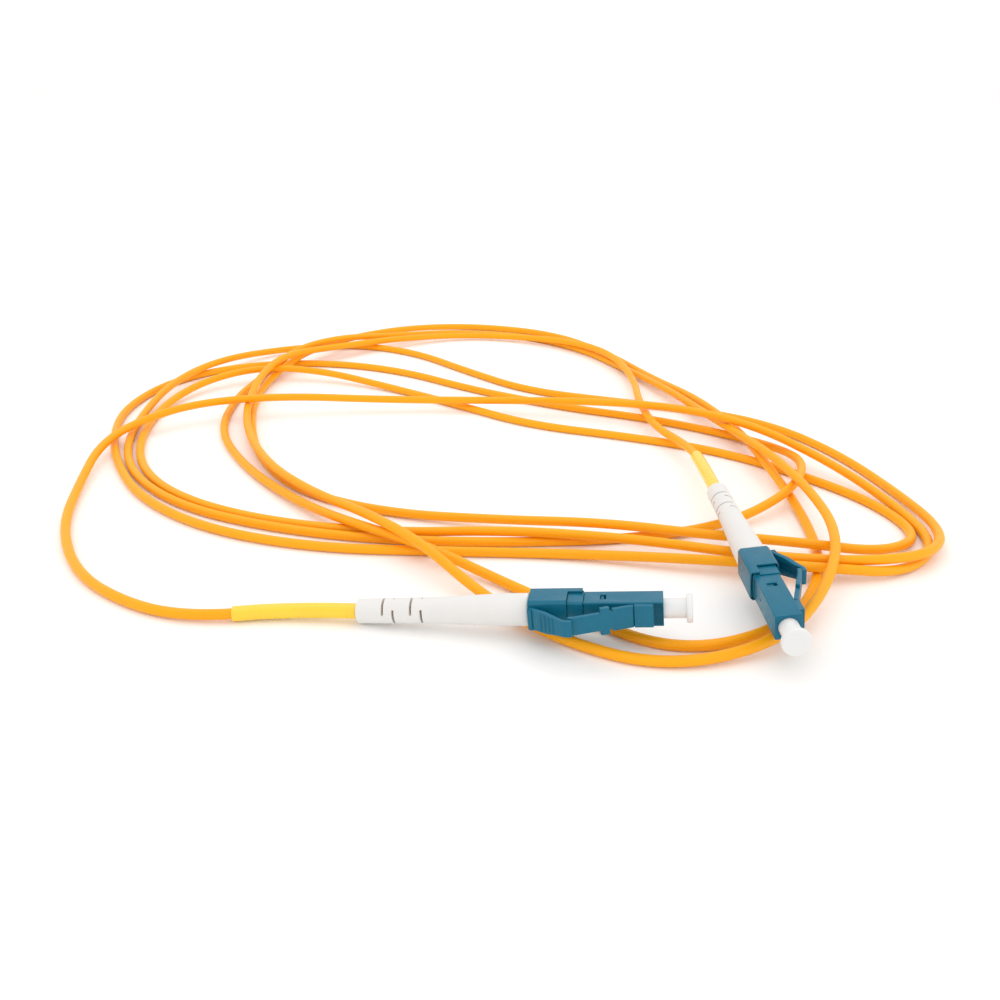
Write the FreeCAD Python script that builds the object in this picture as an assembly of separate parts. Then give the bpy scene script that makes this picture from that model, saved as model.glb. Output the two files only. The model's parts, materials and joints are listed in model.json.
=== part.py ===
"""Fibre optic patch cord: one orange simplex cable in loose turns, with an LC connector on each end.

Millimetres, +Z up, the floor at Z = 0. Each connector is drawn in its own frame: X forward along
the ferrule with the plug's front face at X = 0, Z towards the latch, Y across. It is then placed
where it lies on the coil. The part's origin is under the middle of the two connectors.
"""

import FreeCAD, Part
import math
import os

V = FreeCAD.Vector

# --- driving dimensions, one connector -------------------------------------------------------
PLUG = 4.52                 # side of the square plug
PLUG_LENGTH = 13.4
CLIP = 5.75                 # side of the duplex clip body
CLIP_FRONT = -13.7
CLIP_SHOULDER = -16.2       # where the clip's flanks are cut back
CLIP_REAR = -22.8
CLIP_WALL = 0.375
COLLAR = 4.9                # side of the rear body's collar
FRONT_BORE_R = 1.75
BOOT_TAIL = -53.8
BOOT_FRONT_R = 2.85
BOOT_TAIL_R = 2.2
SLOT_WIDTH = 0.42
SLOTS_FROM_TAIL = (5.0, 6.9, 10.1, 12.0)
SLOT_ARC = 115.0            # degrees, one of an opposite pair
SLOT_TURN = 119.0           # degrees from under the boot to the middle of the last slot
FERRULE_R = 0.625
FERRULE_TIP = 1.9
JACKET_R = 1.0              # the cable is 2.0 mm over its jacket
BUFFER_R = 0.45
CAP_R = 1.7
CAP_FLANGE_R = 2.5
CAP_TIP = 4.9
LATCH_ROOT = V(-5.3, 0, 2.72)
LATCH_ANGLE = 20.0          # degrees that the arm rises, from its root to its free end
LATCH_LENGTH = 10.2
LATCH_THICK = 0.8
LATCH_ROOT_WIDTH = 4.0      # as far as the lugs
LATCH_WIDTH = 3.2
LUG_WIDTH = 4.9
TRIGGER_ROOT = V(-22.0, 0, 3.38)
TRIGGER_WIDTH = 3.8         # at its root
TRIGGER_TIP_WIDTH = 2.9
PIVOT_PLAY = 0.06
RUN_PLAY = 0.05
SLEEVE_R = 1.375
SLEEVE_BORE_R = 1.05
SLEEVE_GAP = 0.3            # bare cable between the boot and the label sleeve
SLEEVE_SHARE = 0.55         # share of the cable's second run that the label sleeve covers

# --- where the connectors lie ----------------------------------------------------------------
ORIGIN = V(0.4, -0.45, 0)
CONNECTORS = {
    "a": (V(13.7, -18.5, 7.6), V(0.9855, -0.1384, 0.098), V(-0.147, -0.986, 0.082)),
    "b": (V(33.1, -24.9, 8.0), V(0.013, -1.0, 0.018), V(0.9937, 0.015, 0.1107)),
}

# --- the cable's route, from connector A's boot to connector B's boot ------------------------
# Each entry is a corner of the route: straight runs joined by arcs that touch them.
ROUTE = [
    # first turn: out of boot A, round the left, across the back over the other turns, and forward
    (-51.5, -9.4, 1.7), (-68, -11.5, 1.4), (-81, -7.5, 1), (-96, 4, 1), (-107, 24, 1.2),
    (-111.5, 46, 1.6), (-113.5, 64, 3.2), (-109, 78, 4), (-96, 88.5, 5.4), (-74, 93.5, 5.6),
    (-45, 96.5, 3.4), (-18, 96, 3.4), (10, 91, 5), (32, 83, 6.4), (50, 70, 6.4), (65, 52, 3.4),
    (73.5, 34, 1.2), (75.5, 16, 1), (65, 4.5, 1), (48, 2.5, 3.4), (24, 7.5, 2.6), (-2, 12.5, 1),
    (-28, 13.5, 1), (-52, 15, 1), (-76, 23, 1), (-95, 38, 1), (-107, 57, 1),
    # second turn: the widest at the left, the smallest at the right
    (-115, 76, 1), (-119, 97, 1), (-113, 120, 1), (-95, 135, 1), (-70, 138, 1), (-45, 130, 1),
    (-21, 111, 1), (4, 97, 1), (27, 88, 1), (45, 77, 1), (57, 65, 1.6), (58, 50, 4), (50, 35, 3.8),
    (34, 24, 1.4), (12, 18.5, 1), (-14, 17, 1), (-40, 18.5, 1), (-63, 24, 1), (-84, 33.5, 1),
    (-100, 49, 1),
    # third turn: the furthest to the right
    (-109, 68, 1), (-112, 90, 1.4), (-110, 112, 3.4), (-102, 134, 3.2), (-86, 151, 1.4),
    (-64, 158, 1), (-42, 149, 1), (-24, 129, 1), (-6, 111, 1), (18, 102, 1), (40, 95, 1),
    (59, 83, 1), (70, 64, 1), (76, 43, 1), (78.5, 21, 2), (71, 7.5, 3.6), (56, 4.5, 3.6),
    (37, 7.5, 3.2), (14, 14.5, 3.2), (-12, 18.5, 3.2), (-37, 21.5, 1), (-62, 26, 1),
    (-84, 36.5, 1), (-99, 52, 1),
    # fourth turn: the lowest at the back right
    (-107, 72, 1), (-109, 96, 1.2), (-102, 114, 2.8), (-87, 123.5, 4.2), (-68, 123.5, 3),
    (-46, 113.5, 1), (-26, 99, 1), (-6, 83.5, 1), (18, 75.5, 1), (40, 66, 1), (57, 51.5, 1),
    (70, 35, 1), (73.5, 19, 1), (62, 11, 2), (46, 12, 3.8), (28, 16.5, 3.2), (8, 21, 3.6),
    (-14, 25.5, 2), (-38, 30.5, 1),
    # fifth turn: turned through a right angle to the first four, the furthest back
    (-58, 40.5, 1), (-71, 56, 1), (-79.5, 78, 1), (-84.5, 104, 1), (-83, 124, 1.6),
    (-76, 141, 3.8), (-63, 160, 3.2), (-44, 177, 1.6), (-20, 180, 1), (5, 170, 1), (21, 148, 1),
    (32, 120, 1.6), (41.5, 96, 3.6), (47.5, 72, 3.6), (50, 50, 2.6), (52, 28, 1), (49, 5, 1),
    (37, -14.5, 1), (16, -22.5, 1), (-1, -9.5, 1), (-14, 1.5, 1.2), (-30, 12.5, 3.4),
    (-46, 22, 3.4), (-60, 36, 1.6),
    # sixth turn: beside the fifth, on top of everything at the right
    (-76, 56, 1), (-88, 79, 1), (-90, 104, 1), (-86.5, 123, 1), (-79, 138, 5.4),
    (-66, 149, 6), (-52, 161, 3), (-31, 172.5, 1), (-6, 168.5, 1), (13, 153, 1),
    (25, 131, 1.2), (33.5, 109, 2.8), (40.5, 88, 3.4), (45.5, 70, 4.4), (49.5, 52, 6.2),
    (53.5, 33, 5.8), (53.5, 12, 5.8), (45, -8, 4.6), (33, -21, 2), (13, -26.5, 1), (-5, -17.5, 1),
    (-18, -4.5, 2.2), (-29, 8, 5.7), (-41, 21, 5.6),
    # last half turn: round the back once more, across the middle and up to boot B
    (-55, 34.5, 4), (-68, 50, 3.6), (-78, 70, 3.4), (-84, 93, 3.2), (-84, 114, 5.6),
    (-80, 131, 6), (-67, 145, 4), (-51, 157, 3), (-29, 168, 1.4), (-6, 164.5, 1.6),
    (12, 152, 3.4), (22.5, 136, 3.6), (26, 117, 2.4), (24.5, 95, 3.4), (26, 76, 3.4),
    (32.5, 59, 4.6), (32.2, 41.8, 6.8),
]
RADIUS_SHARE = 0.45         # share of the shorter run that an arc's tangent takes


def rod(radius, x0, x1):
    """A solid cylinder along the connector's axis."""
    return Part.makeCylinder(radius, x1 - x0, V(x0, 0, 0), V(1, 0, 0))


def pipe(outer, inner, x0, x1):
    """A straight tube along the connector's axis."""
    return rod(outer, x0, x1).cut(rod(inner, x0 - 1, x1 + 1))


def turned(profile):
    """The solid of revolution of (x, radius) points about the connector's axis."""
    face = Part.Face(Part.makePolygon([V(x, 0, r) for x, r in profile + profile[:1]]))
    return face.revolve(V(0, 0, 0), V(1, 0, 0), 360)


def block(x0, x1, half_y, z0, z1):
    """A box that is symmetric across the connector."""
    return Part.makeBox(x1 - x0, 2 * half_y, z1 - z0, V(x0, -half_y, z0))


def plate(points, width):
    """A side outline of (x, z) points, given that width across the connector."""
    outline = Part.makePolygon([V(x, -width / 2, z) for x, z in points + points[:1]])
    return Part.Face(outline).extrude(V(0, width, 0))


def cross_pin(centre, radius, width):
    """A cylinder across the connector, such as a knuckle."""
    return Part.makeCylinder(radius, width, centre - V(0, width / 2, 0), V(0, 1, 0))


def long_edges(shape, direction, reach):
    """The straight edges along a direction that lie at least reach from the axis both ways."""
    found = []
    for edge in shape.Edges:
        if len(edge.Vertexes) != 2:
            continue
        along = edge.Vertexes[1].Point - edge.Vertexes[0].Point
        if along.Length < 0.5 or abs(along.normalize().dot(direction)) < 0.999:
            continue
        middle = edge.CenterOfMass
        if min(abs(middle.y), abs(middle.z)) > reach:
            found.append(edge)
    return found


def plug_frame():
    """Square plug with its front socket, the shoulder that stops the flange, and the latch root."""
    half = PLUG / 2
    body = block(-PLUG_LENGTH, 0, half, -half, half)
    body = body.makeFillet(0.25, long_edges(body, V(1, 0, 0), half - 0.1))
    root = block(-4.85, -1.7, LATCH_ROOT_WIDTH / 2, half - 0.2, 3.13)
    body = body.fuse(root).removeSplitter()
    body = body.cut(rod(FRONT_BORE_R, -5.6, 1)).cut(rod(1.0, -7, 1)).cut(rod(1.85, -PLUG_LENGTH - 1, -6.8))
    body = body.cut(block(-10.6, -9.6, 3, -0.85, 0.85))
    body = body.cut(cross_pin(LATCH_ROOT, LATCH_THICK / 2 + PIVOT_PLAY, 6))
    pin_hole = Part.makeCylinder(0.25, 2, V(-9.0, 0, -3.4), V(0, 0, 1))
    return body.cut(pin_hole)


def latch_arm():
    """Sprung latch: a knuckle at the root, a rising arm with its two locking lugs, a flat end."""
    a = math.radians(LATCH_ANGLE)
    u, n = V(-math.cos(a), 0, math.sin(a)), V(math.sin(a), 0, math.cos(a))
    top, under = n * (LATCH_THICK / 2), n * (-LATCH_THICK / 2)

    def at(side, along):
        p = LATCH_ROOT + side + u * along
        return (p.x, p.z)

    tip = at(top, LATCH_LENGTH)
    end = [tip, (tip[0] - 0.9, tip[1]), (tip[0] - 1.05, tip[1] - 0.2), (tip[0] - 1.0, tip[1] - 0.75)]
    arm = plate([at(top, 0)] + end + [at(under, LATCH_LENGTH - 0.15), at(under, 0)], LATCH_WIDTH)
    foot = plate([at(top, 0), at(top, 3.4), at(under, 3.4), at(under, 0)], LATCH_ROOT_WIDTH)
    lugs = plate([at(top, 3.9), at(top, 5.5), at(under, 5.5), at(under, 3.9)], LUG_WIDTH)
    knuckle = cross_pin(LATCH_ROOT, LATCH_THICK / 2, LATCH_ROOT_WIDTH)
    return arm.fuse([foot, lugs, knuckle]).removeSplitter()


def rear_body():
    """Collar behind the plug, its front tube that snaps into the plug, and the barrel and neck."""
    half = COLLAR / 2
    collar = block(CLIP_SHOULDER, -PLUG_LENGTH - 0.05, half, -half, half)
    collar = collar.makeChamfer(0.35, long_edges(collar, V(1, 0, 0), half - 0.1))
    front = pipe(1.78, 1.45, -13.6, -9.75)
    snaps = block(-10.5, -9.95, 2.05, -0.8, 0.35).cut(rod(1.6, -12, -9))
    barrel = rod(2.1, -22.1, CLIP_SHOULDER + 0.2)
    neck = rod(1.5, -27.5, -22.0)
    body = collar.fuse([front, snaps, barrel, neck]).removeSplitter()
    for side in (-1, 1):
        notch = Part.makeBox(0.8, 0.5, 0.7, V(-14.2, side * (half + 0.05) - 0.25, -1.9))
        body = body.cut(notch)
    return body.cut(rod(0.8, -28, -13)).cut(rod(1.45, -13.2, -9))


def clip():
    """Clip body over the rear body, open at the front, with the ridge that holds the trigger."""
    half = CLIP / 2
    body = block(CLIP_REAR, CLIP_FRONT, half, -half, half)
    body = body.makeChamfer(0.5, long_edges(body, V(1, 0, 0), half - 0.1))
    inner = half - CLIP_WALL
    body = body.cut(block(CLIP_REAR + 0.7, CLIP_FRONT + 1, inner, -inner, inner))
    body = body.cut(block(CLIP_SHOULDER, CLIP_FRONT + 1, half + 1, -1.15, half + 1))
    body = body.cut(rod(1.95, CLIP_REAR - 1, CLIP_REAR + 2))
    ridge = block(CLIP_REAR, -22.02, TRIGGER_WIDTH / 2, half - 0.1, 3.9)
    body = body.fuse(ridge).removeSplitter()
    return body.cut(cross_pin(TRIGGER_ROOT, 0.45 + PIVOT_PLAY, TRIGGER_WIDTH + 1))


def trigger_lever():
    """Lever that presses the latch: knuckle, ribbed ramp with a hollow underside, thick nose."""
    side = [(-22.05, 3.83), (-16.7, 7.3), (-16.2, 7.5), (-15.2, 7.5), (-15.0, 7.3), (-15.0, 6.68),
            (-16.35, 6.68), (-17.0, 6.1), (-21.85, 2.99)]
    lever = plate(side, TRIGGER_WIDTH)
    hollow = plate([(-20.9, 2.9), (-16.9, 5.45), (-16.9, 6.68), (-20.9, 4.05)], TRIGGER_TIP_WIDTH - 1.2)
    half, tip = TRIGGER_WIDTH / 2, TRIGGER_TIP_WIDTH / 2
    outline = [(-23, half), (-19.6, half), (-17.2, tip), (-14, tip)]
    outline += [(x, -y) for x, y in reversed(outline)]
    plan = Part.Face(Part.makePolygon([V(x, y, 2) for x, y in outline + outline[:1]])).extrude(V(0, 0, 7))
    lever = lever.common(plan).cut(hollow).fuse(cross_pin(TRIGGER_ROOT, 0.45, TRIGGER_WIDTH))
    slope = math.atan2(7.3 - 3.83, 22.05 - 16.7)
    for step in range(4):
        along = 1.9 + 0.85 * step
        x = -22.05 + along * math.cos(slope)
        z = 3.83 + along * math.sin(slope)
        lever = lever.fuse(cross_pin(V(x, 0, z), 0.2, TRIGGER_WIDTH - 0.5 - 0.2 * step))
    return lever.removeSplitter()


def ferrule():
    """Zirconia ferrule with a chamfered tip."""
    return turned([(-7.6, 0), (-7.6, FERRULE_R), (FERRULE_TIP - 0.3, FERRULE_R),
                   (FERRULE_TIP - 0.08, 0.42), (FERRULE_TIP, 0.3), (FERRULE_TIP, 0)])


def ferrule_flange():
    """Metal flange that holds the ferrule and stops against the plug's shoulder."""
    nose = pipe(0.92, FERRULE_R, -6.85, -5.7)
    disc = pipe(1.65, FERRULE_R, -7.6, -6.82)
    back = pipe(1.65, BUFFER_R + 0.05, -8.1, -7.6)
    return nose.fuse([disc, back]).removeSplitter()


def spring():
    """Compression spring behind the flange."""
    wire, mean, length, pitch = 0.14, 1.2, 4.7, 0.9
    helix = Part.makeHelix(pitch, length, mean)
    start = Part.Wire(Part.makeCircle(wire, V(mean, 0, 0), V(0, 1, 0)))
    coil = Part.Wire(helix).makePipeShell([start], True, True)
    coil.Placement = FreeCAD.Placement(V(-12.95, 0, 0), FreeCAD.Rotation(V(0, 1, 0), 90))
    return coil


def guide_tube():
    """Thin tube behind the flange that keeps the spring off the fibre."""
    return pipe(0.7, BUFFER_R + 0.05, -14.5, -8.1)


def buffered_fibre():
    """The tight-buffered fibre, from the flange back to the jacket."""
    return rod(BUFFER_R, -30.0, -9.2)


def aramid_yarn():
    """Strength yarn, spread over the neck under the crimp ring and gathered at the jacket."""
    return turned([(-23.2, 1.52), (-23.2, 1.66), (-27.6, 1.66), (-30.0, 0.98), (-30.0, 0.6),
                   (-27.6, 1.52)])


def crimp_ring():
    """Ring crimped over the yarn and the neck."""
    return turned([(-23.3, 1.68), (-23.3, 1.86), (-23.6, 1.9), (-27.0, 1.9), (-27.3, 1.86), (-27.3, 1.68)])


def jacket_end():
    """The end of the cable's jacket inside the boot."""
    return rod(JACKET_R, BOOT_TAIL, -30.05).cut(rod(0.6, -33, -30))


def boot():
    """Tapered strain relief with staggered slots near its tail."""
    outer = turned([(CLIP_REAR - 0.05, 0), (CLIP_REAR - 0.05, BOOT_FRONT_R - 0.15),
                    (CLIP_REAR - 0.25, BOOT_FRONT_R), (-27.5, BOOT_FRONT_R), (BOOT_TAIL + 14, BOOT_TAIL_R + 0.12),
                    (BOOT_TAIL + 0.2, BOOT_TAIL_R), (BOOT_TAIL, BOOT_TAIL_R - 0.2), (BOOT_TAIL, 0)])
    bore = turned([(CLIP_REAR + 1, 0), (CLIP_REAR + 1, 2.0), (-27.8, 2.0), (-30.5, JACKET_R + RUN_PLAY),
                   (BOOT_TAIL - 1, JACKET_R + RUN_PLAY), (BOOT_TAIL - 1, 0)])
    body = outer.cut(bore)
    for station, distance in enumerate(SLOTS_FROM_TAIL):
        x = BOOT_TAIL + distance
        for side in (0, 180):
            wedge = Part.makeCylinder(BOOT_FRONT_R + 1, SLOT_WIDTH, V(0, 0, 0), V(0, 0, 1), SLOT_ARC)
            wedge.rotate(V(0, 0, 0), V(0, 0, 1), side + 90 * station + SLOT_TURN - SLOT_ARC / 2)
            wedge.rotate(V(0, 0, 0), V(0, 1, 0), 90)
            wedge.translate(V(x - SLOT_WIDTH / 2, 0, 0))
            body = body.cut(wedge)
    return body


def dust_cap():
    """Push-in cap: a spigot that fills the socket, a blind bore for the ferrule, a grip flange."""
    return turned([(-3.0, 0.75), (-3.0, CAP_R - 0.15), (-2.85, CAP_R), (3.8, CAP_R), (3.8, CAP_FLANGE_R - 0.12),
                   (3.92, CAP_FLANGE_R), (4.75, CAP_FLANGE_R), (CAP_TIP, CAP_FLANGE_R - 0.15),
                   (CAP_TIP, 0), (3.0, 0), (3.0, 0.75)])


PIECES = {
    "plug_frame": plug_frame,
    "latch_arm": latch_arm,
    "rear_body": rear_body,
    "clip": clip,
    "trigger_lever": trigger_lever,
    "ferrule": ferrule,
    "ferrule_flange": ferrule_flange,
    "spring": spring,
    "guide_tube": guide_tube,
    "buffered_fibre": buffered_fibre,
    "aramid_yarn": aramid_yarn,
    "crimp_ring": crimp_ring,
    "jacket_end": jacket_end,
    "boot": boot,
    "dust_cap": dust_cap,
}


def placement(end):
    """Where one connector lies: its front face's middle, its forward and its latch direction."""
    place, forward, latch = CONNECTORS[end]
    return FreeCAD.Placement(place - ORIGIN, FreeCAD.Rotation(forward, V(0, 0, 0), latch, "XZY"))


def arc_radius(before, corner, after):
    """The radius that RADIUS_SHARE of the shorter run allows at a corner, and the turn."""
    shorter = min((corner - before).Length, (after - corner).Length)
    turn = (corner - before).getAngle(after - corner)
    return RADIUS_SHARE * shorter / math.tan(turn / 2), turn


def route_wire(points):
    """Straight runs joined by tangent arcs, as one wire. Returns the wire and its radii."""
    edges, radii = [], []
    here = points[0]
    for before, corner, after in zip(points, points[1:], points[2:]):
        radius, turn = arc_radius(before, corner, after)
        inward, outward = (before - corner).normalize(), (after - corner).normalize()
        tangent = radius * math.tan(turn / 2)
        start, stop = corner + inward * tangent, corner + outward * tangent
        bisector = (inward + outward).normalize()
        middle = corner + bisector * (radius / math.cos(turn / 2) - radius)
        edges.append(Part.LineSegment(here, start).toShape())
        edges.append(Part.Arc(start, middle, stop).toShape())
        radii.append(radius)
        here = stop
    edges.append(Part.LineSegment(here, points[-1]).toShape())
    return Part.Wire(edges), radii


def sweep(wire, radius):
    """A round solid along a wire."""
    edge = wire.Edges[0]
    start = edge.Vertexes[0].Point
    circle = Part.Wire(Part.makeCircle(radius, start, edge.tangentAt(edge.FirstParameter)))
    return wire.makePipeShell([circle], True, False)


def sleeve_wire(tail, corner, after):
    """The cable's own first run, arc and part of its second run, less a gap beside the boot."""
    along, arc, _ = route_wire([tail, corner, after])[0].Edges
    start = tail + (corner - tail).normalize() * SLEEVE_GAP
    end = corner + (after - corner) * SLEEVE_SHARE
    return Part.Wire([Part.LineSegment(start, along.Vertexes[1].Point).toShape(), arc,
                      Part.LineSegment(arc.Vertexes[1].Point, end).toShape()])


def main():
    os.makedirs("parts", exist_ok=True)
    for end in CONNECTORS:
        for name, make in PIECES.items():
            shape = make()
            shape.Placement = placement(end).multiply(shape.Placement)
            shape.exportStep(f"parts/{name}_{end}.step")
    tails = {end: placement(end).multVec(V(BOOT_TAIL, 0, 0)) for end in CONNECTORS}
    points = [tails["a"]] + [V(*p) - ORIGIN for p in ROUTE] + [tails["b"]]
    wire, radii = route_wire(points)
    cable = sweep(wire, JACKET_R)
    cable.exportStep("parts/cable.step")
    section = math.pi * JACKET_R ** 2
    print(f"cable {wire.Length:.0f} mm long, {len(points)} points, volume {cable.Volume:.0f},",
          f"section x length {section * wire.Length:.0f}, valid {cable.isValid()}")
    runs = [(b - a).Length for a, b in zip(points, points[1:])]
    print(f"runs {min(runs):.1f} to {max(runs):.1f}, radii from {min(radii):.1f}")
    for end, first in (("a", points[:3]), ("b", points[-1:-4:-1])):
        sleeve = sleeve_wire(*first)
        solid = sweep(sleeve, SLEEVE_R).cut(sweep(sleeve, SLEEVE_BORE_R))
        solid.exportStep(f"parts/label_sleeve_{end}.step")


main()
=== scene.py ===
"""Fibre optic patch cord: the looks of its cable, labels, boots, caps, housings and inner parts.

Metres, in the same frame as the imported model. Each connector has its own axes: X forward along the
ferrule with the plug's front face at X = 0, Z towards the latch, Y across.
"""

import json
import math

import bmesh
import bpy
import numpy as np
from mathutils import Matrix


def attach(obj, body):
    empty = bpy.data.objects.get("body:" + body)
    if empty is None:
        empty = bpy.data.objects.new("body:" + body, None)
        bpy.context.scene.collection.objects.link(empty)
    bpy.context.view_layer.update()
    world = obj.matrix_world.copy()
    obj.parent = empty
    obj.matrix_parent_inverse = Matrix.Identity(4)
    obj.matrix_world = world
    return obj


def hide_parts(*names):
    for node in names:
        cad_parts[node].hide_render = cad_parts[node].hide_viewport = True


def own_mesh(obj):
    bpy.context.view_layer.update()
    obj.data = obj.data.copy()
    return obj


bl_info = {
    "name": "Fibre optic patch cord",
    "version": (1, 0, 0),
    "blender": (4, 5, 0),
    "location": "View3D > Sidebar > Patch cord",
    "description": "Makes the visible pieces of a patch cord around its packed model",
    "category": "Object",
}

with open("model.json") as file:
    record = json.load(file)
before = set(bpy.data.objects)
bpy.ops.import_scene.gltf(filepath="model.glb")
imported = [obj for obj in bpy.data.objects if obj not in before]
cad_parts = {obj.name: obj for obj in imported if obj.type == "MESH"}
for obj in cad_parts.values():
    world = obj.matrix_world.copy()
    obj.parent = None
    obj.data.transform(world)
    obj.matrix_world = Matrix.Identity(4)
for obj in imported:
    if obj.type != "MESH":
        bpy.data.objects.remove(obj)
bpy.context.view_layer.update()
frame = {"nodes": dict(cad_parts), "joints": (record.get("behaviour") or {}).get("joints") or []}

MM = 0.001
ENDS = ("a", "b")
JOINTS = {joint["name"]: joint for joint in frame["joints"]}

# Places on one connector, in millimetres along its own axes.
TRIGGER_PIVOT = (-22.0, 0.0, 3.38)
BOOT_FRONT = -22.85
BOOT_TAIL = -53.8
NECK_END = -27.8            # the boot's bore narrows from here
JACKET_START = -30.5        # to here, where it grips the jacket
TAPER_START = -27.5         # the boot narrows from here
TAPER_END = -39.8           # to here, and hardly further back
SLOTS_FROM_TAIL = (5.0, 6.9, 10.1, 12.0)

# The cable's route, from boot A to boot B, in metres. ROUTE_ORIGIN is the part's origin in it.
ROUTE_ORIGIN = (0.0004, -0.00045, 0.0)
ROUTE = [
    # first turn: out of boot A, round the left, across the back over the other turns, and forward
    (-0.0515, -0.0094, 0.0017), (-0.068, -0.0115, 0.0014), (-0.081, -0.0075, 0.001),
    (-0.096, 0.004, 0.001), (-0.107, 0.024, 0.0012), (-0.1115, 0.046, 0.0016),
    (-0.1135, 0.064, 0.0032), (-0.109, 0.078, 0.004), (-0.096, 0.0885, 0.0054),
    (-0.074, 0.0935, 0.0056), (-0.045, 0.0965, 0.0034), (-0.018, 0.096, 0.0034), (0.01, 0.091, 0.005),
    (0.032, 0.083, 0.0064), (0.05, 0.07, 0.0064), (0.065, 0.052, 0.0034), (0.0735, 0.034, 0.0012),
    (0.0755, 0.016, 0.001), (0.065, 0.0045, 0.001), (0.048, 0.0025, 0.0034), (0.024, 0.0075, 0.0026),
    (-0.002, 0.0125, 0.001), (-0.028, 0.0135, 0.001), (-0.052, 0.015, 0.001), (-0.076, 0.023, 0.001),
    (-0.095, 0.038, 0.001), (-0.107, 0.057, 0.001),
    # second turn: the widest at the left, the smallest at the right
    (-0.115, 0.076, 0.001), (-0.119, 0.097, 0.001), (-0.113, 0.12, 0.001), (-0.095, 0.135, 0.001),
    (-0.07, 0.138, 0.001), (-0.045, 0.13, 0.001), (-0.021, 0.111, 0.001), (0.004, 0.097, 0.001),
    (0.027, 0.088, 0.001), (0.045, 0.077, 0.001), (0.057, 0.065, 0.0016), (0.058, 0.05, 0.004),
    (0.05, 0.035, 0.0038), (0.034, 0.024, 0.0014), (0.012, 0.0185, 0.001), (-0.014, 0.017, 0.001),
    (-0.04, 0.0185, 0.001), (-0.063, 0.024, 0.001), (-0.084, 0.0335, 0.001), (-0.1, 0.049, 0.001),
    # third turn: the furthest to the right
    (-0.109, 0.068, 0.001), (-0.112, 0.09, 0.0014), (-0.11, 0.112, 0.0034), (-0.102, 0.134, 0.0032),
    (-0.086, 0.151, 0.0014), (-0.064, 0.158, 0.001), (-0.042, 0.149, 0.001), (-0.024, 0.129, 0.001),
    (-0.006, 0.111, 0.001), (0.018, 0.102, 0.001), (0.04, 0.095, 0.001), (0.059, 0.083, 0.001),
    (0.07, 0.064, 0.001), (0.076, 0.043, 0.001), (0.0785, 0.021, 0.002), (0.071, 0.0075, 0.0036),
    (0.056, 0.0045, 0.0036), (0.037, 0.0075, 0.0032), (0.014, 0.0145, 0.0032),
    (-0.012, 0.0185, 0.0032), (-0.037, 0.0215, 0.001), (-0.062, 0.026, 0.001), (-0.084, 0.0365, 0.001),
    (-0.099, 0.052, 0.001),
    # fourth turn: the lowest at the back right
    (-0.107, 0.072, 0.001), (-0.109, 0.096, 0.0012), (-0.102, 0.114, 0.0028), (-0.087, 0.1235, 0.0042),
    (-0.068, 0.1235, 0.003), (-0.046, 0.1135, 0.001), (-0.026, 0.099, 0.001), (-0.006, 0.0835, 0.001),
    (0.018, 0.0755, 0.001), (0.04, 0.066, 0.001), (0.057, 0.0515, 0.001), (0.07, 0.035, 0.001),
    (0.0735, 0.019, 0.001), (0.062, 0.011, 0.002), (0.046, 0.012, 0.0038), (0.028, 0.0165, 0.0032),
    (0.008, 0.021, 0.0036), (-0.014, 0.0255, 0.002), (-0.038, 0.0305, 0.001),
    # fifth turn: turned through a right angle to the first four, the furthest back
    (-0.058, 0.0405, 0.001), (-0.071, 0.056, 0.001), (-0.0795, 0.078, 0.001), (-0.0845, 0.104, 0.001),
    (-0.083, 0.124, 0.0016), (-0.076, 0.141, 0.0038), (-0.063, 0.16, 0.0032), (-0.044, 0.177, 0.0016),
    (-0.02, 0.18, 0.001), (0.005, 0.17, 0.001), (0.021, 0.148, 0.001), (0.032, 0.12, 0.0016),
    (0.0415, 0.096, 0.0036), (0.0475, 0.072, 0.0036), (0.05, 0.05, 0.0026), (0.052, 0.028, 0.001),
    (0.049, 0.005, 0.001), (0.037, -0.0145, 0.001), (0.016, -0.0225, 0.001), (-0.001, -0.0095, 0.001),
    (-0.014, 0.0015, 0.0012), (-0.03, 0.0125, 0.0034), (-0.046, 0.022, 0.0034), (-0.06, 0.036, 0.0016),
    # sixth turn: beside the fifth, on top of everything at the right
    (-0.076, 0.056, 0.001), (-0.088, 0.079, 0.001), (-0.09, 0.104, 0.001), (-0.0865, 0.123, 0.001),
    (-0.079, 0.138, 0.0054), (-0.066, 0.149, 0.006), (-0.052, 0.161, 0.003), (-0.031, 0.1725, 0.001),
    (-0.006, 0.1685, 0.001), (0.013, 0.153, 0.001), (0.025, 0.131, 0.0012), (0.0335, 0.109, 0.0028),
    (0.0405, 0.088, 0.0034), (0.0455, 0.07, 0.0044), (0.0495, 0.052, 0.0062), (0.0535, 0.033, 0.0058),
    (0.0535, 0.012, 0.0058), (0.045, -0.008, 0.0046), (0.033, -0.021, 0.002), (0.013, -0.0265, 0.001),
    (-0.005, -0.0175, 0.001), (-0.018, -0.0045, 0.0022), (-0.029, 0.008, 0.0057),
    (-0.041, 0.021, 0.0056),
    # last half turn: round the back once more, across the middle and up to boot B
    (-0.055, 0.0345, 0.004), (-0.068, 0.05, 0.0036), (-0.078, 0.07, 0.0034), (-0.084, 0.093, 0.0032),
    (-0.084, 0.114, 0.0056), (-0.08, 0.131, 0.006), (-0.067, 0.145, 0.004), (-0.051, 0.157, 0.003),
    (-0.029, 0.168, 0.0014), (-0.006, 0.1645, 0.0016), (0.012, 0.152, 0.0034), (0.0225, 0.136, 0.0036),
    (0.026, 0.117, 0.0024), (0.0245, 0.095, 0.0034), (0.026, 0.076, 0.0034), (0.0325, 0.059, 0.0046),
    (0.0322, 0.0418, 0.0068),
]


# --- settings --------------------------------------------------------------------------------

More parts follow.
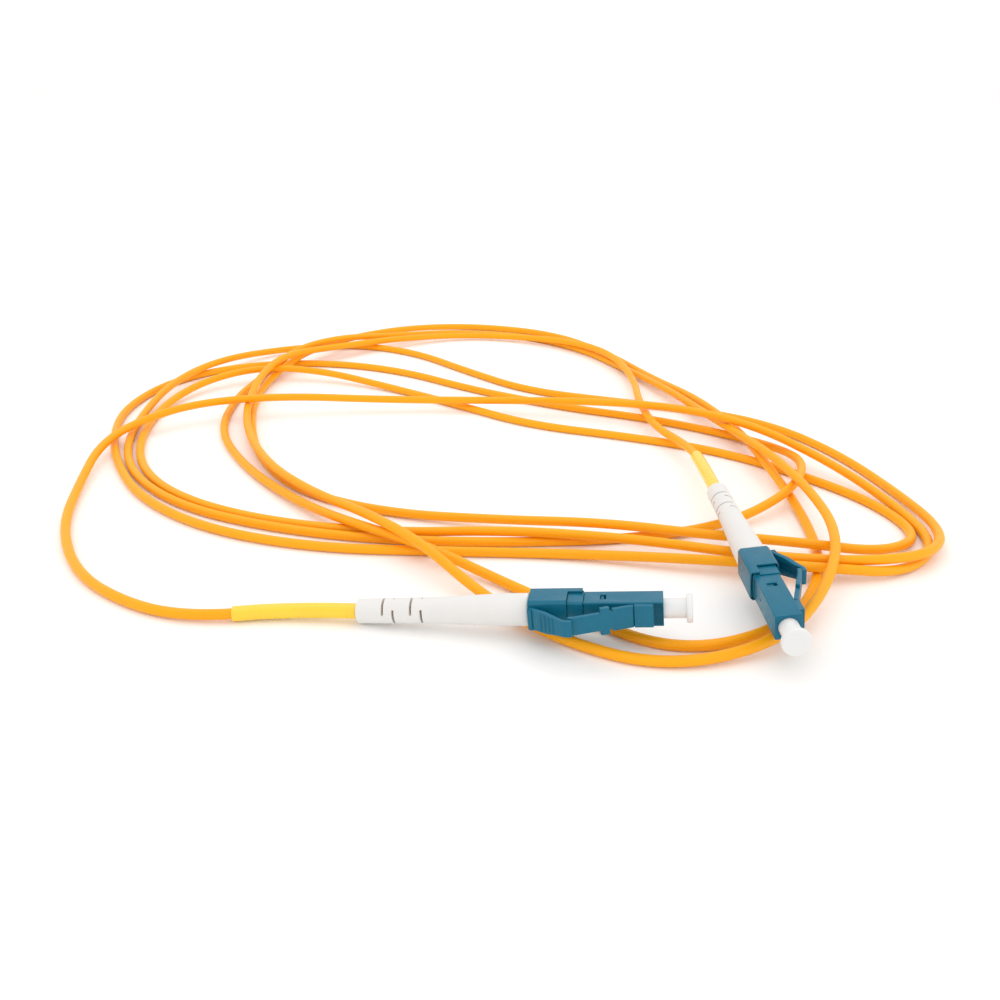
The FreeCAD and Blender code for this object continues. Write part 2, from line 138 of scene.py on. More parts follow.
class CableSettings(bpy.types.PropertyGroup):
    """The cable and the label sleeves on it."""
    radius: bpy.props.FloatProperty(
        name="Jacket radius", description="Half the cable's outer diameter",
        default=1.0 * MM, min=0.5 * MM, max=2.0 * MM, precision=5, unit="LENGTH")
    label_radius: bpy.props.FloatProperty(
        name="Label radius", description="Half the label sleeve's outer diameter",
        default=1.37 * MM, min=1.1 * MM, max=2.0 * MM, precision=5, unit="LENGTH")
    label_gap: bpy.props.FloatProperty(
        name="Label gap", description="Bare cable between the boot and the label",
        default=0.25 * MM, min=0.0, max=10 * MM, precision=5, unit="LENGTH")
    label_length: bpy.props.FloatProperty(
        name="Label length", description="Length of each label sleeve",
        default=22.5 * MM, min=5 * MM, max=40 * MM, precision=5, unit="LENGTH")
    colour: bpy.props.FloatVectorProperty(
        name="Jacket colour", description="Single-mode orange of the jacket",
        default=(1.0, 0.4, 0.0), size=3, min=0.0, max=1.0, subtype="COLOR")
    label_colour: bpy.props.FloatVectorProperty(
        name="Label colour", description="Clear yellow film over the jacket",
        default=(1.0, 0.62, 0.03), size=3, min=0.0, max=1.0, subtype="COLOR")


class BootSettings(bpy.types.PropertyGroup):
    """The strain relief boots."""
    front_radius: bpy.props.FloatProperty(
        name="Front radius", description="Half the boot's diameter at the housing",
        default=2.85 * MM, min=2 * MM, max=4 * MM, precision=5, unit="LENGTH")
    tail_radius: bpy.props.FloatProperty(
        name="Tail radius", description="Half the boot's diameter at its tail",
        default=2.2 * MM, min=1.5 * MM, max=4 * MM, precision=5, unit="LENGTH")
    slot_width: bpy.props.FloatProperty(
        name="Slot width", description="Width of each flexing slot along the boot",
        default=0.42 * MM, min=0.1 * MM, max=1 * MM, precision=5, unit="LENGTH")
    slot_arc: bpy.props.FloatProperty(
        name="Slot arc", description="How far one slot of a pair reaches round the boot",
        default=math.radians(115), min=0.5, max=2.8, subtype="ANGLE")
    slot_turn: bpy.props.FloatProperty(
        name="Slot turn", description="Angle from across to the middle of the last slot",
        default=math.radians(29), subtype="ANGLE")
    colour: bpy.props.FloatVectorProperty(
        name="Boot colour", description="Warm white elastomer",
        default=(0.76, 0.745, 0.725), size=3, min=0.0, max=1.0, subtype="COLOR")


class CapSettings(bpy.types.PropertyGroup):
    """The dust caps."""
    spigot_radius: bpy.props.FloatProperty(
        name="Spigot radius", description="Half the diameter of the part in the plug",
        default=1.7 * MM, min=1 * MM, max=2 * MM, precision=5, unit="LENGTH")
    flange_radius: bpy.props.FloatProperty(
        name="Flange radius", description="Half the diameter of the grip disc",
        default=2.5 * MM, min=2 * MM, max=4 * MM, precision=5, unit="LENGTH")
    colour: bpy.props.FloatVectorProperty(
        name="Cap colour", description="Natural polyethylene white",
        default=(0.76, 0.76, 0.755), size=3, min=0.0, max=1.0, subtype="COLOR")


class HousingSettings(bpy.types.PropertyGroup):
    """The moulded plug, rear body, clip, latch and trigger."""
    edge: bpy.props.FloatProperty(
        name="Edge radius", description="How far the moulded edges are rounded",
        default=0.09 * MM, min=0.01 * MM, max=0.3 * MM, precision=6, unit="LENGTH")
    colour: bpy.props.FloatVectorProperty(
        name="Housing colour", description="Teal blue of the moulded housings",
        default=(0.003, 0.135, 0.222), size=3, min=0.0, max=1.0, subtype="COLOR")


class StageSettings(bpy.types.PropertyGroup):
    """The floor, lights and camera."""
    sky: bpy.props.FloatProperty(
        name="Sky", description="Strength of the even white light from all round",
        default=1.06, min=0.0, max=4.0)
    key_power: bpy.props.FloatProperty(
        name="Key power", description="Power of the large soft light overhead",
        default=1.6, min=0.0, max=200.0, unit="POWER")
    fill_power: bpy.props.FloatProperty(
        name="Fill power", description="Power of the low soft light from the right",
        default=0.6, min=0.0, max=200.0, unit="POWER")
    floor_colour: bpy.props.FloatVectorProperty(
        name="Floor colour", description="Pale paper sweep",
        default=(0.975, 0.965, 0.955), size=3, min=0.0, max=1.0, subtype="COLOR")
    camera_place: bpy.props.FloatVectorProperty(
        name="Camera place", description="Where the camera stands",
        default=(-14.4 * MM, -156.55 * MM, 94.95 * MM), size=3, subtype="TRANSLATION")
    camera_pitch: bpy.props.FloatProperty(
        name="Camera pitch", description="The camera's turn about X, from straight down",
        default=math.radians(64.185), subtype="ANGLE")
    camera_lens: bpy.props.FloatProperty(
        name="Camera lens", description="Focal length on a 36 mm sensor",
        default=34.603, min=10.0, max=200.0)


# --- finishes --------------------------------------------------------------------------------

def node_at(tree, kind, **values):
    """A shader node with some of its properties and input defaults set."""
    node = tree.nodes.new(kind)
    for key, value in values.items():
        if key in node.inputs:
            node.inputs[key].default_value = value
        else:
            setattr(node, key, value)
    return node


def patches(tree, coordinates, size, detail=3.0, roughness=0.55):
    """A noise pattern whose patches are about that size across. Returns its value output."""
    noise = node_at(tree, "ShaderNodeTexNoise")
    noise.inputs["Scale"].default_value = 1.0 / size
    noise.inputs["Detail"].default_value = detail
    noise.inputs["Roughness"].default_value = roughness
    tree.links.new(coordinates, noise.inputs["Vector"])
    return noise.outputs["Fac"]


def finish(name, light, dark, rough, clouding=4 * MM, grain=0.2 * MM, depth=0.004 * MM,
           stretch=None, **constants):
    """A surface whose colour drifts between two tones, with uneven gloss and a fine raised grain.

    rough is the lowest and the highest roughness. stretch scales the grain's pattern along X, Y
    and Z, as for drawn or spun material. Other values go straight to the shader's sockets.
    """
    material = bpy.data.materials.new(name)
    material.use_nodes = True
    tree = material.node_tree
    shader = tree.nodes["Principled BSDF"]
    for key, value in constants.items():
        shader.inputs[key.replace("_", " ").title().replace("Ior", "IOR")].default_value = value
    coordinates = node_at(tree, "ShaderNodeTexCoord").outputs["Object"]

    tone = node_at(tree, "ShaderNodeMix", data_type="RGBA")
    tone.inputs["A"].default_value = (*light, 1.0)
    tone.inputs["B"].default_value = (*dark, 1.0)
    tree.links.new(patches(tree, coordinates, clouding), tone.inputs["Factor"])
    tree.links.new(tone.outputs["Result"], shader.inputs["Base Color"])

    gloss = node_at(tree, "ShaderNodeMapRange")
    gloss.inputs["From Min"].default_value = 0.3
    gloss.inputs["From Max"].default_value = 0.7
    gloss.inputs["To Min"].default_value = rough[0]
    gloss.inputs["To Max"].default_value = rough[1]
    tree.links.new(patches(tree, coordinates, clouding * 0.3, 5.0), gloss.inputs["Value"])
    tree.links.new(gloss.outputs["Result"], shader.inputs["Roughness"])

    if stretch:
        mapping = node_at(tree, "ShaderNodeMapping")
        mapping.inputs["Scale"].default_value = stretch
        tree.links.new(coordinates, mapping.inputs["Vector"])
        coordinates = mapping.outputs["Vector"]
    bump = node_at(tree, "ShaderNodeBump")
    bump.inputs["Strength"].default_value = 0.6
    bump.inputs["Distance"].default_value = depth
    tree.links.new(patches(tree, coordinates, grain, 4.0, 0.6), bump.inputs["Height"])
    tree.links.new(bump.outputs["Normal"], shader.inputs["Normal"])
    return material


def toned(colour, factor):
    """The same colour, lighter or darker by a factor."""
    return tuple(min(1.0, channel * factor) for channel in colour)


def coated(piece, material):
    """Puts one material on the whole of a piece."""
    piece.data.materials.clear()
    piece.data.materials.append(material)


# --- shapes ----------------------------------------------------------------------------------

def axes_of(end):
    """One connector's front centre, and its forward, across and latch directions as rows."""
    pivot = JOINTS[f"trigger_press_{end}"]
    forward = np.array(JOINTS[f"cap_pull_{end}"]["axis"], float)
    across = np.array(pivot["axis"], float)
    forward /= np.linalg.norm(forward)
    across /= np.linalg.norm(across)
    rows = np.array([forward, across, np.cross(forward, across)])
    centre = np.array(pivot["pos_m"]) - np.array(TRIGGER_PIVOT) * MM @ rows
    return centre, rows


def tail_of(end):
    """The middle of one boot's tail, where the cable leaves it."""
    centre, rows = axes_of(end)
    return centre + BOOT_TAIL * MM * rows[0]


def softened(outline, sizes, steps=5):
    """Rounds each corner of an outline: the curve (1-s)^2 A + 2s(1-s) C + s^2 B replaces corner C,
    where A and B lie that corner's size away from it along its two sides."""
    corner = np.array(outline, float)
    size = np.array(sizes, float)[:, None]
    before = np.roll(corner, 1, axis=0) - corner
    after = np.roll(corner, -1, axis=0) - corner
    start = corner + before / np.linalg.norm(before, axis=1, keepdims=True) * size
    stop = corner + after / np.linalg.norm(after, axis=1, keepdims=True) * size
    s = np.linspace(0, 1, steps)[None, :, None]
    curve = (1 - s) ** 2 * start[:, None] + 2 * s * (1 - s) * corner[:, None] + s ** 2 * stop[:, None]
    keep = np.ones(curve.shape[:2], bool)
    keep[size[:, 0] == 0, 1:] = False
    return curve[keep]


def ring_quads(rings, around, closed):
    """Quads between neighbouring rings of points, which close on themselves round the axis."""
    count = rings if closed else rings - 1
    i = np.arange(count)[:, None]
    j = np.arange(around)[None, :]
    ahead = (i + 1) % rings * around
    turned = (j + 1) % around
    quads = np.stack([i * around + j, i * around + turned, ahead + turned, ahead + j], axis=-1)
    return quads.reshape(-1, 4)


def mesh_piece(name, points, faces, sharp=35):
    """A smooth-shaded object at the origin from points and a list of face arrays."""
    mesh = bpy.data.meshes.new(name)
    mesh.from_pydata(points.reshape(-1, 3).tolist(), [], [f for part in faces for f in part.tolist()])
    shape = bmesh.new()
    shape.from_mesh(mesh)
    bmesh.ops.remove_doubles(shape, verts=shape.verts, dist=1e-7)
    bmesh.ops.recalc_face_normals(shape, faces=shape.faces)
    shape.to_mesh(mesh)
    shape.free()
    mesh.shade_smooth()
    mesh.set_sharp_from_angle(angle=math.radians(sharp))
    piece = bpy.data.objects.new(name, mesh)
    bpy.context.scene.collection.objects.link(piece)
    return piece


def on_axis(end, x, radius, angle):
    """Points at distance x along a connector's axis, and at that radius and angle about it."""
    centre, rows = axes_of(end)
    local = np.stack([x, radius * np.cos(angle), radius * np.sin(angle)], axis=-1)
    return centre + local @ rows


def route_line():
    """The smooth centre line that the route's spline gives, as an array of points."""
    curve = spline_curve("route_line", steps=60)
    holder = bpy.data.objects.new("route_line", curve)
    bpy.context.scene.collection.objects.link(holder)
    bpy.context.view_layer.update()
    mesh = bpy.data.meshes.new_from_object(holder)
    points = np.empty(len(mesh.vertices) * 3)
    mesh.vertices.foreach_get("co", points)
    bpy.data.objects.remove(holder)
    bpy.data.curves.remove(curve)
    bpy.data.meshes.remove(mesh)
    return points.reshape(-1, 3)


def spline_curve(name, steps=14):
    """One open NURBS spline from boot tail to boot tail, with the route's points as its controls."""
    inner = np.array(ROUTE) - np.array(ROUTE_ORIGIN)
    points = np.vstack([tail_of("a"), inner, tail_of("b")])
    curve = bpy.data.curves.new(name, "CURVE")
    curve.dimensions = "3D"
    spline = curve.splines.new("NURBS")
    spline.points.add(len(points) - 1)
    spline.points.foreach_set("co", np.column_stack([points, np.ones(len(points))]).ravel())
    spline.order_u = 3
    spline.use_endpoint_u = True
    spline.resolution_u = steps
    curve.resolution_u = steps
    return curve


def frames_along(line, distances):
    """Points at those distances along a line, with the directions beside and above it there."""
    steps = np.linalg.norm(np.diff(line, axis=0), axis=1)
    run = np.concatenate([[0.0], np.cumsum(steps)])
    place = np.stack([np.interp(distances, run, line[:, k]) for k in range(3)], axis=-1)
    reach = 1.5 * MM            # half the stretch that a direction is measured over
    ahead = np.stack([np.interp(distances + reach, run, line[:, k]) for k in range(3)], axis=-1)
    behind = np.stack([np.interp(distances - reach, run, line[:, k]) for k in range(3)], axis=-1)
    along = ahead - behind
    along /= np.linalg.norm(along, axis=1, keepdims=True)
    beside = np.cross(along, (0.0, 0.0, 1.0))
    beside /= np.linalg.norm(beside, axis=1, keepdims=True)
    return place, beside, np.cross(beside, along)


# --- pieces ----------------------------------------------------------------------------------

class PATCHCORD_OT_cable(bpy.types.Operator):
    """Lay the cable along its route, from one boot to the other"""
    bl_idname = "patchcord.cable"
    bl_label = "Cable"

    def execute(self, context):
        settings = context.scene.patchcord_cable
        curve = spline_curve("cable_jacket")
        curve.bevel_depth = settings.radius
        curve.bevel_resolution = 6
        curve.use_fill_caps = True
        piece = bpy.data.objects.new("cable_jacket", curve)
        context.scene.collection.objects.link(piece)
        coated(piece, jacket_finish(settings))
        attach(piece, "root")
        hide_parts("cable")
        return {"FINISHED"}


def jacket_finish(settings):
    """Extruded PVC: orange with soft gloss, faint tone changes and a very fine skin."""
    return finish("jacket_orange", toned(settings.colour, 1.04), toned(settings.colour, 0.93),
                  (0.36, 0.48), clouding=14 * MM, grain=0.35 * MM, depth=0.003 * MM, ior=1.5,
                  specular_ior_level=0.3)


class PATCHCORD_OT_labels(bpy.types.Operator):
    bl_idname = "patchcord.labels"
    bl_label = "Label sleeves"

    CLEARANCE = 0.04 * MM       # between the film and the jacket
    CORNERS = (0.16 * MM, 0.16 * MM, 0.05 * MM, 0.05 * MM)
    LAP = 0.03 * MM             # how far the film's outer edge stands up
    STATIONS = 26
    AROUND = 48

    def execute(self, context):
        settings = context.scene.patchcord_cable
        line = route_line()
        film = finish("label_yellow", toned(settings.label_colour, 1.05),
                      toned(settings.label_colour, 0.94), (0.22, 0.36), clouding=5 * MM,
                      grain=0.5 * MM, depth=0.0005 * MM, coat_weight=0.25, coat_roughness=0.2)
        sleeves = [self.sleeve(end, line, settings) for end in ENDS]
        for end, sleeve in zip(ENDS, sleeves):
            coated(sleeve, film)
            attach(sleeve, "root")
            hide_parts(f"label_sleeve_{end}")
        tuple(tail_of("a"))
        return {"FINISHED"}

    def sleeve(self, end, line, settings):
        """A closed film tube: an outline of (distance along, radius) points carried round the line.

        The radius grows by a small smooth step where the film laps over itself."""
        start = settings.label_gap
        stop = start + settings.label_length
        bore = settings.radius + self.CLEARANCE
        outer = settings.label_radius
        middle = np.linspace(start, stop, self.STATIONS)[1:-1]
        skin = np.column_stack([middle, np.full(middle.size, outer)])
        inside = np.column_stack([middle[::-1], np.full(middle.size, bore)])
        corners = softened([(start, outer), (stop, outer), (stop, bore), (start, bore)], self.CORNERS)
        lip = len(corners) // 4
        outline = np.vstack([corners[:lip], skin, corners[lip:3 * lip], inside, corners[3 * lip:]])
        distance, radius = outline.T
        path = line if end == "a" else line[::-1]
        place, beside, above = frames_along(path, distance)
        angle = np.linspace(0, 2 * math.pi, self.AROUND, endpoint=False)[None, :]
        lap = self.LAP / (1 + np.exp(-(np.cos(angle + 2.2) - 0.55) * 40))
        reach = radius[:, None] + lap * (radius[:, None] > bore + 0.1 * MM)
        points = (place[:, None] + (reach * np.cos(angle))[..., None] * beside[:, None]
                  + (reach * np.sin(angle))[..., None] * above[:, None])
        return mesh_piece(f"label_{end}", points, [ring_quads(len(outline), self.AROUND, True)])


class PATCHCORD_OT_boots(bpy.types.Operator):
    """Mould the tapered strain relief boots with their staggered slots"""
    bl_idname = "patchcord.boots"
    bl_label = "Boots"

    AROUND = 96
    TAIL_SWELL = 0.12 * MM      # how much wider the boot is where its taper ends
    END_ROUNDING = 0.4 * MM     # along the boot, at each end
    END_DROP = 0.3 * MM         # and how far the skin falls there
    BORE_FLARE = 0.15 * MM
    JACKET_BORE = 1.05 * MM
    NECK_BORE = 2.0 * MM

    def execute(self, context):
        settings = context.scene.patchcord_boot
        rubber = finish("boot_white", toned(settings.colour, 1.02), toned(settings.colour, 0.96),
                        (0.5, 0.66), clouding=3 * MM, grain=0.16 * MM, depth=0.012 * MM, ior=1.45)
        for end in ENDS:
            piece = self.shell(end, settings)
            coated(piece, rubber)
            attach(piece, "root")
            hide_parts(f"boot_{end}")
        return {"FINISHED"}

    def shell(self, end, settings):
        """Two skins on one grid of stations along and angles round: the outer taper and the bore.

        Cells inside a slot are left out of both skins, and walls join the skins round each gap."""
        slots = (BOOT_TAIL + np.array(SLOTS_FROM_TAIL)) * MM
        half = settings.slot_width / 2
        tail, front = BOOT_TAIL * MM, BOOT_FRONT * MM
        lip = np.array([0.0, 0.04, 0.12, 0.25, 0.4]) * MM
        plain = np.linspace(tail + 3 * self.END_ROUNDING, front - 3 * self.END_ROUNDING, 22)
        edges = np.concatenate([slots - half, slots + half])
        bore_turns = np.array([JACKET_START, NECK_END]) * MM
        x = np.unique(np.round(np.concatenate([tail + lip, front - lip, plain, edges, bore_turns]), 8))
        taper = np.interp(x, [tail, TAPER_END * MM, TAPER_START * MM, front],
                          [settings.tail_radius, settings.tail_radius + self.TAIL_SWELL,
                           settings.front_radius, settings.front_radius])
        near = np.clip(np.minimum(x - tail, front - x) / self.END_ROUNDING, 0, 1)
        outer = taper - self.END_DROP * (1 - np.sqrt(1 - (1 - near) ** 2))
        bore = np.interp(x, bore_turns, [self.JACKET_BORE, self.NECK_BORE])
        bore += self.BORE_FLARE * np.clip(1 - (x - tail) / (0.25 * MM), 0, 1)

        around = self.AROUND
        angle = (np.arange(around) + 0.5) * 2 * math.pi / around
        skins = [on_axis(end, np.repeat(x[:, None], around, 1), r[:, None] * np.ones(around),
                         np.repeat(angle[None], x.size, 0)) for r in (outer, bore)]
        points = np.concatenate([skin.reshape(-1, 3) for skin in skins])

        solid = np.ones((x.size - 1, around), bool)
        middle = (x[:-1] + x[1:]) / 2
        turned = angle + math.pi / around
        for station, place in enumerate(slots):
            rows = np.abs(middle - place) < half
            centre = settings.slot_turn + station * math.pi / 2
            away = np.abs((turned - centre + math.pi / 2) % math.pi - math.pi / 2)
            solid[np.ix_(rows, away < settings.slot_arc / 2)] = False

        ring = x.size * around
        cells = ring_quads(x.size, around, False).reshape(x.size - 1, around, 4)
        faces = [cells[solid], cells[solid][:, ::-1] + ring]
        above = np.vstack([np.zeros((1, around), bool), solid])
        below = np.vstack([solid, np.zeros((1, around), bool)])
        i, j = np.nonzero(above != below)
        a, b = i * around + j, i * around + (j + 1) % around
        faces.append(np.column_stack([a, b, b + ring, a + ring]))
        i, j = np.nonzero(solid != np.roll(solid, 1, axis=1))
        a, b = i * around + j, (i + 1) * around + j
        faces.append(np.column_stack([a, b, b + ring, a + ring]))
        piece = mesh_piece(f"boot_shell_{end}", points, faces, sharp=40)
        soften = piece.modifiers.new("slot edges", "BEVEL")
        soften.width = 0.035 * MM
        soften.segments = 2
        soften.limit_method = "ANGLE"
        soften.angle_limit = math.radians(50)
        soften.use_clamp_overlap = False
        return piece


class PATCHCORD_OT_caps(bpy.types.Operator):
    """Turn the dust caps, each with its spigot, blind bore and grip disc"""
    bl_idname = "patchcord.caps"
    bl_label = "Dust caps"

    # Places along the connector's axis and the bore's radius, in millimetres.
    FACE = 4.9
    RIM = 4.84                  # the disc's face is slightly domed
    DISC_BACK = 3.8
    BORE_END = 3.0
    SPIGOT_END = -3.0
    BORE = 0.75
    EYE = 0.02                  # the two ends on the axis are closed by a disc this small
    AROUND = 72

    def execute(self, context):
        settings = context.scene.patchcord_cap
        soft = finish("cap_white", toned(settings.colour, 1.01), toned(settings.colour, 0.985),
                      (0.3, 0.38), clouding=2.5 * MM, grain=0.6 * MM, depth=0.001 * MM, ior=1.5)
        for end in ENDS:
            piece = self.turned(end, settings)
            coated(piece, soft)
            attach(piece, f"cap_{end}")
            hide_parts(f"dust_cap_{end}")
        return {"FINISHED"}

    def turned(self, end, settings):
        """An outline of (x, radius) points, rounded at its corners and spun about the axis."""
        spigot, disc = settings.spigot_radius / MM, settings.flange_radius / MM
        outline = [(self.FACE, self.EYE), (self.RIM, disc), (self.DISC_BACK, disc),
                   (self.DISC_BACK, spigot), (self.SPIGOT_END, spigot), (self.SPIGOT_END, self.BORE),
                   (self.BORE_END, self.BORE), (self.BORE_END, self.EYE)]
        sizes = [0, 0.34, 0.3, 0.22, 0.3, 0.1, 0.25, 0]
        profile = softened(outline, sizes, 7) * MM
        around = self.AROUND
        angle = np.linspace(0, 2 * math.pi, around, endpoint=False)[None, :]
        x = np.repeat(profile[:, :1], around, 1)
        points = on_axis(end, x, profile[:, 1:] * np.ones((1, around)), np.repeat(angle, len(profile), 0))
        first = np.arange(around)[None, :]
        last = first + (len(profile) - 1) * around
        faces = [ring_quads(len(profile), around, False), first[:, ::-1], last]
        return mesh_piece(f"cap_{end}", points, faces, sharp=60)


class PATCHCORD_OT_housings(bpy.types.Operator):
    """Round the moulded edges of each connector's plug, rear body, clip, latch and trigger"""
    bl_idname = "patchcord.housings"
    bl_label = "Housings"

    PARTS = {"plug_frame": "root", "rear_body": "root", "clip": "root",
             "latch_arm": "latch", "trigger_lever": "trigger"}

    def execute(self, context):
        settings = context.scene.patchcord_housing
        teal = finish("housing_teal", toned(settings.colour, 1.1), toned(settings.colour, 0.9),
                      (0.28, 0.42), clouding=2.5 * MM, grain=0.14 * MM, depth=0.006 * MM, ior=1.5,
                      specular_ior_level=0.3)
        for end in ENDS:
            for part, body in self.PARTS.items():
                piece = self.moulded(f"{part}_{end}", settings.edge)
                coated(piece, teal)
                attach(piece, body if body == "root" else f"{body}_{end}")
                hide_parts(f"{part}_{end}")
        return {"FINISHED"}

    def moulded(self, node, edge):
        """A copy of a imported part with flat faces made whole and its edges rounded."""
        mesh = frame["nodes"][node].data.copy()
        mesh.name = f"moulded_{node}"
        shape = bmesh.new()
        shape.from_mesh(mesh)
        bmesh.ops.remove_doubles(shape, verts=shape.verts, dist=1e-6)
        bmesh.ops.dissolve_limit(shape, angle_limit=math.radians(0.6), verts=shape.verts,
                                 edges=shape.edges)
        shape.to_mesh(mesh)
        shape.free()
        mesh.shade_smooth()
        piece = bpy.data.objects.new(f"moulded_{node}", mesh)
        bpy.context.scene.collection.objects.link(piece)
        rounding = piece.modifiers.new("moulded edges", "BEVEL")
        rounding.width = edge
        rounding.segments = 3
        rounding.limit_method = "ANGLE"
        rounding.angle_limit = math.radians(32)
        rounding.use_clamp_overlap = False
        rounding.harden_normals = True
        return piece


class PATCHCORD_OT_inner_parts(bpy.types.Operator):
    """Give the parts inside each connector their metals, ceramic, yarn and plastics"""
    bl_idname = "patchcord.inner_parts"
    bl_label = "Inner parts"

    def execute(self, context):
        metal = dict(metallic=1.0)
        finishes = {
            "ferrule": finish("ferrule_ceramic", (0.86, 0.86, 0.83), (0.82, 0.82, 0.79), (0.06, 0.12),
                              clouding=1 * MM, depth=0.001 * MM, ior=2.1),
            "ferrule_flange": finish("flange_nickel", (0.66, 0.63, 0.57), (0.58, 0.55, 0.5),
                                     (0.2, 0.34), clouding=0.8 * MM, grain=0.08 * MM, **metal),
            "guide_tube": finish("guide_clear", (0.8, 0.8, 0.76), (0.74, 0.74, 0.7), (0.2, 0.3),
                                 transmission_weight=0.6, ior=1.45),
            "buffered_fibre": finish("buffer_white", (0.85, 0.85, 0.82), (0.8, 0.8, 0.77),
                                     (0.35, 0.5), clouding=1.5 * MM),
            "aramid_yarn": finish("yarn_gold", (0.78, 0.58, 0.16), (0.6, 0.42, 0.1), (0.45, 0.7),
                                  clouding=0.4 * MM, grain=0.12 * MM, depth=0.05 * MM,
                                  stretch=(0.15, 1.0, 1.0), sheen_weight=0.4),
            "crimp_ring": finish("crimp_metal", (0.7, 0.7, 0.7), (0.6, 0.6, 0.61), (0.25, 0.4),
                                 clouding=0.8 * MM, grain=0.3 * MM, depth=0.02 * MM, **metal),
            "jacket_end": bpy.data.materials["jacket_orange"],
        }
        for end in ENDS:
            for part, material in finishes.items():
                coated(frame["nodes"][f"{part}_{end}"], material)
        return {"FINISHED"}


class PATCHCORD_OT_springs(bpy.types.Operator):
    """Wind the ferrule springs at their resting length, before any ferrule is pushed in"""
    bl_idname = "patchcord.springs"
    bl_label = "Springs"

    # Millimetres, along and about the connector's axis.
    WIRE = 0.14                 # the wire's radius
    MEAN = 1.2                  # the coil's radius, to the middle of the wire
    REAR = -12.95
    FRONT = -8.25
    TRAVEL = 0.8                # how far the ferrule pushes the front end back
    TURNS = 7
    CLOSED = 0.34               # pitch of the end turns, as a share of the others'
    AROUND = 14

    def execute(self, context):
        steel = finish("spring_steel", (0.6, 0.6, 0.61), (0.48, 0.48, 0.5), (0.18, 0.3),
                       clouding=0.5 * MM, grain=0.05 * MM, metallic=1.0)
        for end in ENDS:
            piece = self.wound(end)
            coated(piece, steel)
            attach(piece, "root")
            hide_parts(f"spring_{end}")
            centre, rows = axes_of(end)
            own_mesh(piece)
        return {"FINISHED"}

    def wound(self, end):
        """A round wire carried round a helix whose first and last turns lie closed.

        The advance along the axis is the running sum of a pitch that drops to a third at each end.
        Each ring of the wire lies across the helix: its two directions are the radius and the
        radius crossed with the helix's tangent."""
        turn = np.linspace(0, self.TURNS, self.TURNS * 28 + 1)
        pitch = np.interp(turn, [1.0, 1.3, self.TURNS - 1.3, self.TURNS - 1.0],
                          [self.CLOSED, 1, 1, self.CLOSED])
        advance = np.concatenate([[0.0], np.cumsum((pitch[1:] + pitch[:-1]) / 2)])
        x = self.REAR + (self.FRONT - self.REAR) * advance / advance[-1]
        angle = 2 * math.pi * turn
        outward = np.column_stack([np.zeros_like(angle), np.cos(angle), np.sin(angle)])
        middle = self.MEAN * outward
        middle[:, 0] = x
        tangent = np.gradient(middle, axis=0)
        tangent /= np.linalg.norm(tangent, axis=1, keepdims=True)
        sideways = np.cross(outward, tangent)
        turned = np.linspace(0, 2 * math.pi, self.AROUND, endpoint=False)[None, :, None]
        local = middle[:, None] + self.WIRE * (np.cos(turned) * outward[:, None]
                                               + np.sin(turned) * sideways[:, None])
        centre, rows = axes_of(end)
        first = np.arange(self.AROUND)[None, :]
        last = first + (len(turn) - 1) * self.AROUND
        faces = [ring_quads(len(turn), self.AROUND, False), first[:, ::-1], last]
        return mesh_piece(f"spring_wire_{end}", centre + local * MM @ rows, faces)


# --- stage -----------------------------------------------------------------------------------

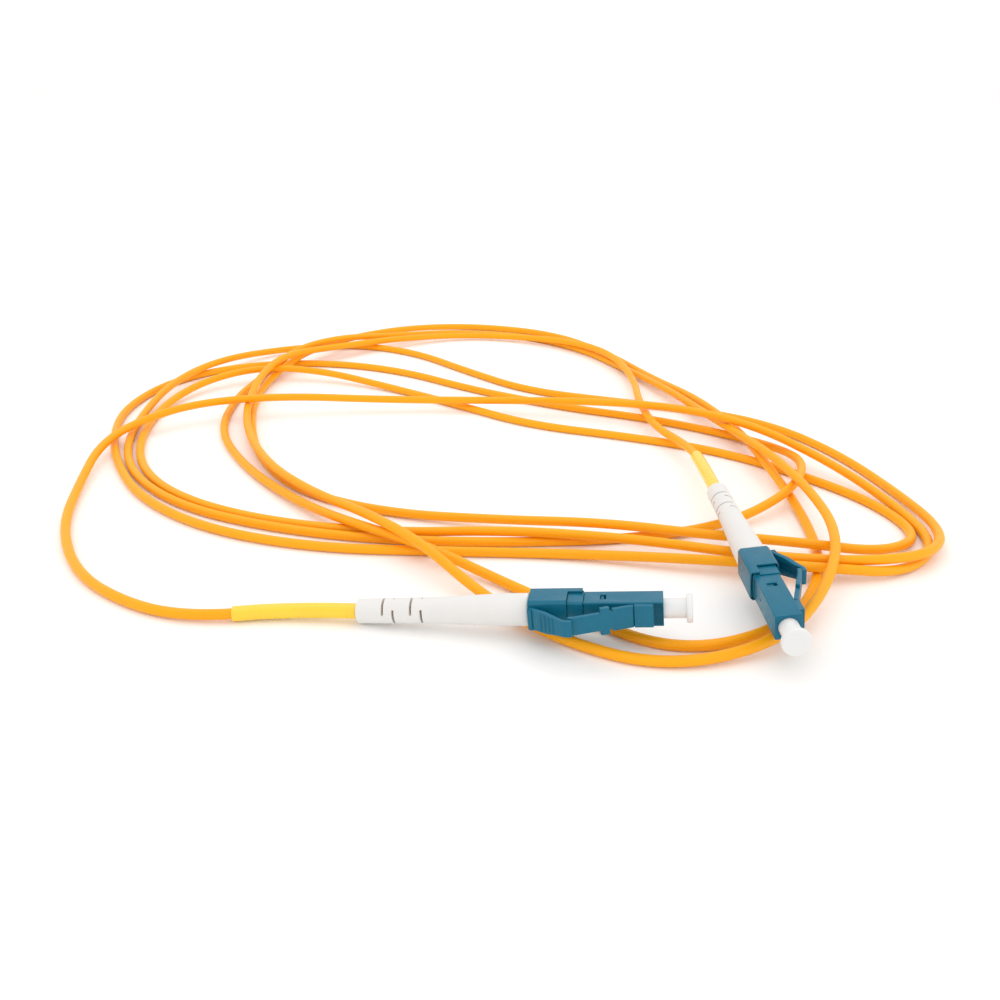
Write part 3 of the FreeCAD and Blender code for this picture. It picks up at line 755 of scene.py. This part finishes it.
class PATCHCORD_OT_stage(bpy.types.Operator):
    """Set up the pale sweep, the soft lights and the camera"""
    bl_idname = "patchcord.stage"
    bl_label = "Stage"

    def execute(self, context):
        settings = context.scene.patchcord_stage
        self.camera(context, settings)
        self.sweep(settings)
        self.soft_light("key_light", (-0.1, 0.25, 0.85), (1.1, 0.9), settings.key_power)
        self.soft_light("fill_light", (0.75, -0.45, 0.35), (0.6, 0.5), settings.fill_power)
        world = bpy.data.worlds.new("studio")
        world.use_nodes = True
        background = world.node_tree.nodes["Background"]
        background.inputs["Color"].default_value = (1.0, 0.995, 0.985, 1.0)
        background.inputs["Strength"].default_value = settings.sky
        context.scene.world = world
        context.scene.view_settings.view_transform = "Standard"
        return {"FINISHED"}

    def camera(self, context, settings):
        """A plain camera with no depth of field."""
        data = bpy.data.cameras.new("camera")
        data.lens = settings.camera_lens
        data.sensor_width = 36.0
        data.clip_start = 5 * MM
        data.clip_end = 20.0
        camera = bpy.data.objects.new("camera", data)
        camera.location = settings.camera_place
        camera.rotation_euler = (settings.camera_pitch, 0.0, 0.0)
        context.scene.collection.objects.link(camera)
        context.scene.camera = camera

    def sweep(self, settings):
        """A flat square of paper, 4 m across, that the part lies on."""
        reach, squares = 2.0, 8
        side = np.linspace(-reach, reach, squares + 1)
        x, y = np.meshgrid(side, side, indexing="ij")
        points = np.stack([x, y, np.zeros_like(x)], axis=-1)
        i, j = np.meshgrid(np.arange(squares), np.arange(squares), indexing="ij")
        corner = (i * side.size + j).ravel()
        ahead = corner + side.size
        quads = np.column_stack([corner, ahead, ahead + 1, corner + 1])
        floor = mesh_piece("floor", points, [quads])
        paper = finish("floor_paper", toned(settings.floor_colour, 1.01),
                       toned(settings.floor_colour, 0.985), (0.75, 0.9), clouding=60 * MM,
                       grain=0.4 * MM, depth=0.01 * MM, specular_ior_level=0.2)
        coated(floor, paper)

    def soft_light(self, name, place, size, power):
        """A rectangular lamp that faces the middle of the part."""
        data = bpy.data.lights.new(name, "AREA")
        data.shape = "RECTANGLE"
        data.size, data.size_y = size
        data.energy = power
        lamp = bpy.data.objects.new(name, data)
        lamp.location = place
        aim = lamp.location.copy()
        aim.y -= 0.06
        lamp.rotation_euler = aim.to_track_quat("Z", "Y").to_euler()
        bpy.context.scene.collection.objects.link(lamp)


class PATCHCORD_PT_panel(bpy.types.Panel):
    """Lists the steps and the settings"""
    bl_idname = "PATCHCORD_PT_panel"
    bl_label = "Patch cord"
    bl_space_type = "VIEW_3D"
    bl_region_type = "UI"
    bl_category = "Patch cord"

    def draw(self, context):
        for operator in OPERATORS:
            self.layout.operator(operator.bl_idname)
        for name in SETTINGS:
            box = self.layout.box()
            group = getattr(context.scene, name)
            for key in group.bl_rna.properties.keys():
                if key not in ("rna_type", "name"):
                    box.prop(group, key)


# --- registration ----------------------------------------------------------------------------

OPERATORS = (PATCHCORD_OT_stage, PATCHCORD_OT_cable, PATCHCORD_OT_labels, PATCHCORD_OT_boots,
             PATCHCORD_OT_caps, PATCHCORD_OT_housings, PATCHCORD_OT_inner_parts,
             PATCHCORD_OT_springs)
SETTINGS = {
    "patchcord_cable": CableSettings,
    "patchcord_boot": BootSettings,
    "patchcord_cap": CapSettings,
    "patchcord_housing": HousingSettings,
    "patchcord_stage": StageSettings,
}
CLASSES = (*SETTINGS.values(), *OPERATORS, PATCHCORD_PT_panel)


def register():
    for cls in CLASSES:
        bpy.utils.register_class(cls)
    for name, group in SETTINGS.items():
        setattr(bpy.types.Scene, name, bpy.props.PointerProperty(type=group))


def unregister():
    for name in SETTINGS:
        delattr(bpy.types.Scene, name)
    for cls in reversed(CLASSES):
        bpy.utils.unregister_class(cls)


def main():
    register()
    bpy.ops.patchcord.stage()
    bpy.ops.patchcord.cable()
    bpy.ops.patchcord.labels()
    bpy.ops.patchcord.boots()
    bpy.ops.patchcord.caps()
    bpy.ops.patchcord.housings()
    bpy.ops.patchcord.inner_parts()
    bpy.ops.patchcord.springs()
    bpy.context.view_layer.update()


if __name__ == "__main__":
    main()
